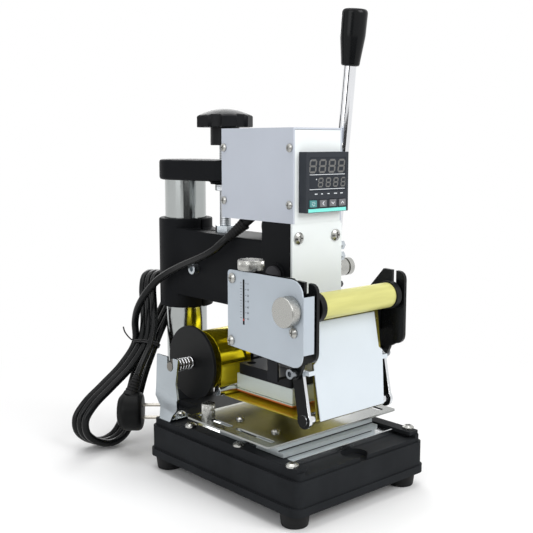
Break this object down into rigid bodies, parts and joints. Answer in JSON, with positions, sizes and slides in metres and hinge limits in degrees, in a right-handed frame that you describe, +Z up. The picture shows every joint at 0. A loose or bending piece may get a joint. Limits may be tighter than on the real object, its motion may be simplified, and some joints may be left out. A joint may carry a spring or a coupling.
{
  "type": "hot foil stamping machine",
  "caption": "Bench-top hot foil stamping machine with a column arm, hand lever and rack-driven heated head, foil feed, temperature control box and slide-out bed.",
  "frame": {"origin": "on the table plane under the feet, under the middle of the machine's width and length without its cord, 131 mm behind the front edge of the base and 104.5 mm in front of the column's axis", "axes": "+X the machine's right, +Y its back, +Z up; the feed rollers and the controller face -Y"},
  "size_m": [0.1839, 0.2934, 0.3978],
  "materials": {
    "base_black": "satin",
    "arm_black": "satin",
    "rubber": "matte",
    "chrome": "polished",
    "nickel": "satin",
    "steel": "satin",
    "white_paint": "satin",
    "silver_plate": "brushed",
    "bronze": "satin",
    "controller": "satin",
    "window": "gloss",
    "black_plastic": "satin",
    "gold_foil": "metallic",
    "copper": "satin",
    "stainless": "brushed",
    "red_plastic": "satin"
  },
  "bodies": {
    "base": {"base_casting": "base_black", "rubber_feet": "rubber", "column": "chrome", "top_cap": "base_black", "guide_strips": "base_black", "rim_screws": "nickel", "roll_brackets": "chrome", "cord_hank": "rubber", "plug_body": "rubber", "plug_pins": "nickel"},
    "arm": {"arm_casting": "arm_black", "arm_fasteners": "nickel", "neck_cover": "white_paint", "pan_screws": "nickel", "shaft_bushes": "bronze", "box_chassis": "white_paint", "box_cover": "white_paint", "controller_case": "controller", "controller_window": "window", "cord_gland": "rubber", "cord_lead": "rubber", "heater_lead": "steel", "roller_ears": "base_black", "socket_screws": "steel", "feed_backplate": "base_black", "feed_plate": "silver_plate", "rod_arms": "base_black", "guide_rods": "chrome", "foil_shield": "white_paint", "foil_web": "gold_foil"},
    "height_screw": {"star_knob": "black_plastic", "height_rod": "steel"},
    "lever": {"pinion_shaft": "steel", "lever_hub": "nickel", "lever_rod": "chrome", "lever_grip": "black_plastic"},
    "ram": {"ram_slide": "steel", "head_plate": "base_black", "heater_block": "silver_plate", "heater_cartridges": "steel", "die_plate": "copper", "push_bracket": "steel"},
    "feed_lever": {"feed_arm": "steel"},
    "takeup": {"takeup_spool": "black_plastic", "takeup_foil": "gold_foil", "feed_knob": "nickel"},
    "adjuster": {"feed_thumbscrew": "nickel"},
    "pointer": {"feed_pointer": "red_plastic"},
    "supply": {"supply_shaft": "chrome", "supply_flanges": "black_plastic", "supply_foil": "gold_foil", "supply_spring": "nickel"},
    "tray": {"bed_tray": "stainless", "bed_rails": "silver_plate", "work_plate": "stainless", "plate_screws": "nickel"},
    "key_left": {"key_1": "controller"},
    "key_mid_left": {"key_2": "controller"},
    "key_mid_right": {"key_3": "controller"},
    "key_right": {"key_4": "controller"}
  },
  "joints": [
    {"name": "arm_height", "type": "slide", "parent": "base", "child": "arm", "axis": [0, 0, 1], "range_m": [0, 0.008], "deforming": ["foil_web", "cord_lead"]},
    {"name": "height_screw_turn", "type": "hinge", "parent": "base", "child": "height_screw", "pos_m": [0, 0.044, 0.2], "axis": [0, 0, 1], "range_deg": [-10, 1940]},
    {"name": "ram_press", "type": "slide", "parent": "arm", "child": "ram", "axis": [0, 0, -1], "range_m": [0, 0.013], "deforming": ["foil_web"]},
    {"name": "lever_turn", "type": "hinge", "parent": "arm", "child": "lever", "pos_m": [0, -0.055, 0.1822], "axis": [1, 0, 0], "range_deg": [-1, 84]},
    {"name": "feed_lever_swing", "type": "hinge", "parent": "arm", "child": "feed_lever", "pos_m": [0, -0.1148, 0.166], "axis": [-1, 0, 0], "range_deg": [-1, 20]},
    {"name": "takeup_turn", "type": "hinge", "parent": "arm", "child": "takeup", "pos_m": [0, -0.1148, 0.166], "axis": [1, 0, 0], "continuous": true},
    {"name": "adjuster_turn", "type": "hinge", "parent": "arm", "child": "adjuster", "pos_m": [-0.0595, -0.0608, 0.16], "axis": [0, 0, 1], "range_deg": [-10, 4690]},
    {"name": "pointer_slide", "type": "slide", "parent": "arm", "child": "pointer", "axis": [0, 0, 1], "range_m": [0, 0.026]},
    {"name": "supply_turn", "type": "hinge", "parent": "base", "child": "supply", "pos_m": [0, 0.027, 0.0985], "axis": [1, 0, 0], "continuous": true},
    {"name": "tray_slide", "type": "slide", "parent": "base", "child": "tray", "axis": [0, -1, 0], "range_m": [0, 0.06]},
    {"name": "key_left_press", "type": "slide", "parent": "arm", "child": "key_left", "axis": [0, 1, 0], "range_m": [0, 0.0006], "stiffness_N_per_m": 600, "springref_m": -0.0004},
    {"name": "key_mid_left_press", "type": "slide", "parent": "arm", "child": "key_mid_left", "axis": [0, 1, 0], "range_m": [0, 0.0006], "stiffness_N_per_m": 600, "springref_m": -0.0004},
    {"name": "key_mid_right_press", "type": "slide", "parent": "arm", "child": "key_mid_right", "axis": [0, 1, 0], "range_m": [0, 0.0006], "stiffness_N_per_m": 600, "springref_m": -0.0004},
    {"name": "key_right_press", "type": "slide", "parent": "arm", "child": "key_right", "axis": [0, 1, 0], "range_m": [0, 0.0006], "stiffness_N_per_m": 600, "springref_m": -0.0004}
  ],
  "couplings": [
    {"joint": "height_screw_turn", "follows": "arm_height", "rad_per_m": 4188.8},
    {"joint": "lever_turn", "follows": "ram_press", "rad_per_m": 111.11},
    {"joint": "feed_lever_swing", "follows": "ram_press", "rad_per_m": 24.923},
    {"joint": "adjuster_turn", "follows": "pointer_slide", "rad_per_m": 3141.6}
  ]
}
